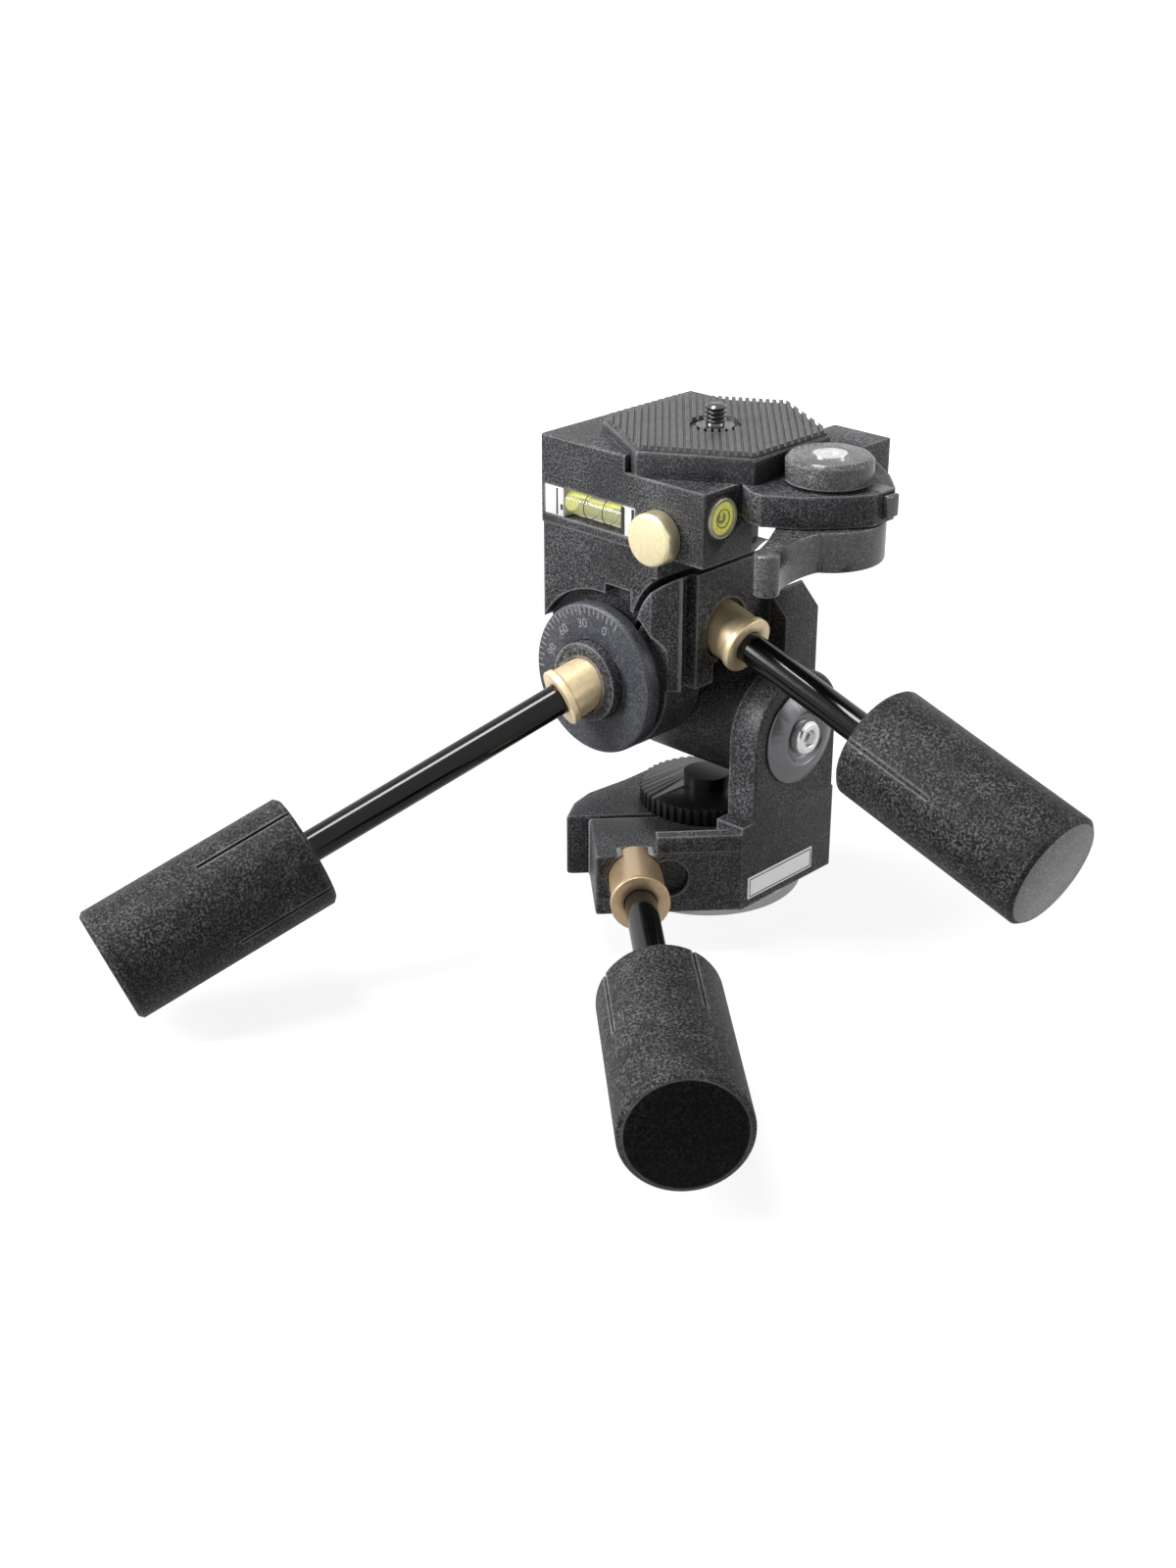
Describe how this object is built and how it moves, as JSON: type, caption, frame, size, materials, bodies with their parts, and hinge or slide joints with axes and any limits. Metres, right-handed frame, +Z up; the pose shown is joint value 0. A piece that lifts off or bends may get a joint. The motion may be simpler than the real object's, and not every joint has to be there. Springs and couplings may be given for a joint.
{
  "type": "three way pan tilt head",
  "caption": "Camera head for a tripod: turning base, two crossed tilt axes with twist-lock handles, hexagonal quick plate, levels and a release lever.",
  "frame": {"origin": "pan axis at the underside of the base disc", "axes": "+Z up, +Y away from the user, +X to the user's right; the user stands at -Y, the side with the tube level"},
  "size_m": [0.2177, 0.218, 0.1536],
  "materials": {
    "casting": "satin dark grey paint on cast light alloy",
    "base_metal": "satin bare metal",
    "steel": "bright machined",
    "bearing": "smooth low-friction plastic",
    "label": "plain blank white film",
    "vial_end": "white moulded plastic",
    "clear": "clear",
    "liquid": "yellow-green level liquid",
    "air": "air bubble",
    "plate_body": "dark moulded plastic",
    "plate_pad": "ribbed dark rubber",
    "lever_body": "dark satin plastic",
    "champagne": "pale gold anodised",
    "bronze": "bronze anodised",
    "handle_rod": "glossy black anodised tube",
    "grip": "black speckled texture"
  },
  "bodies": {
    "base": {"base_disc": "base_metal", "thread_bush": "steel", "base_screws": "steel", "pan_spindle": "steel", "pan_scale_ring": "base_metal", "scale_ring_bolt": "steel", "base_washer": "bearing"},
    "pan_body": {"pan_casting": "casting", "label_plate": "label", "tilt_axle": "steel", "axle_cap": "casting", "axle_bolt": "steel", "balance_spring": "steel"},
    "pan_handle": {"pan_collar": "bronze", "pan_rod": "handle_rod", "pan_stud": "steel", "pan_grip": "grip", "pan_grip_cap": "grip"},
    "tilt_block": {"tilt_casting": "casting", "brake_plug": "bearing", "axle_end_cover": "casting", "scale_disc": "casting", "drum_washer": "steel"},
    "front_tilt_handle": {"front_tilt_collar": "champagne", "front_tilt_rod": "handle_rod", "front_tilt_stud": "steel", "front_tilt_grip": "grip", "front_tilt_grip_cap": "grip"},
    "platform": {"platform_casting": "casting", "vial_carrier": "vial_end", "vial_tube": "clear", "vial_fluid": "liquid", "vial_bubble": "air", "round_level_cup": "vial_end", "round_level_fluid": "liquid", "round_level_bubble": "air", "round_level_window": "clear", "lever_washer": "steel", "catch_spring": "steel"},
    "side_tilt_handle": {"side_tilt_collar": "champagne", "side_tilt_rod": "handle_rod", "side_tilt_stud": "steel", "side_tilt_grip": "grip", "side_tilt_grip_cap": "grip"},
    "plate": {"quick_plate": "plate_body", "plate_pad": "plate_pad", "screw_clip": "steel"},
    "camera_bolt": {"camera_screw": "steel"},
    "lever": {"lever_arm": "lever_body", "lever_cap": "lever_body", "lever_bolt": "steel"},
    "knob": {"lock_knob": "champagne"},
    "catch": {"catch_button": "lever_body"}
  },
  "joints": [
    {"name": "pan", "type": "hinge", "parent": "base", "child": "pan_body", "pos_m": [0, 0, 0], "axis": [0, 0, 1], "continuous": true},
    {"name": "pan_lock", "type": "hinge", "parent": "pan_body", "child": "pan_handle", "pos_m": [0.01094, -0.04389, 0.0181], "axis": [0.7431, -0.6691, 0], "range_deg": [-180, 0]},
    {"name": "front_tilt", "type": "hinge", "parent": "pan_body", "child": "tilt_block", "pos_m": [0, 0.004, 0.0555], "axis": [1, 0, 0], "range_deg": [-90, 30]},
    {"name": "front_tilt_lock", "type": "hinge", "parent": "tilt_block", "child": "front_tilt_handle", "pos_m": [-0.015, -0.0355, 0.0715], "axis": [-0.3136, -0.876, -0.3665], "range_deg": [-180, 0]},
    {"name": "side_tilt", "type": "hinge", "parent": "tilt_block", "child": "platform", "pos_m": [-0.015, 0, 0.0715], "axis": [0, 1, 0], "range_deg": [-90, 4]},
    {"name": "side_tilt_lock", "type": "hinge", "parent": "platform", "child": "side_tilt_handle", "pos_m": [0.0095, -0.0079, 0.0881], "axis": [0.9557, -0.0334, -0.2924], "range_deg": [-180, 0]},
    {"name": "plate_lift", "type": "slide", "parent": "platform", "child": "plate", "axis": [0, 0, 1], "range_m": [0, 0.025]},
    {"name": "camera_screw_turn", "type": "hinge", "parent": "plate", "child": "camera_bolt", "pos_m": [0, 0, 0.145], "axis": [0, 0, 1], "continuous": true},
    {"name": "lever_swing", "type": "hinge", "parent": "platform", "child": "lever", "pos_m": [0.0418, 0, 0.12], "axis": [0, 0, 1], "range_deg": [0, 75]},
    {"name": "knob_turn", "type": "hinge", "parent": "platform", "child": "knob", "pos_m": [0.009, -0.0355, 0.1205], "axis": [0, 1, 0], "range_deg": [0, 90]},
    {"name": "catch_press", "type": "slide", "parent": "platform", "child": "catch", "axis": [-1, 0, 0], "range_m": [0, 0.0015], "stiffness_N_per_m": 600, "springref_m": -0.001, "deforming": ["catch_spring"]}
  ]
}
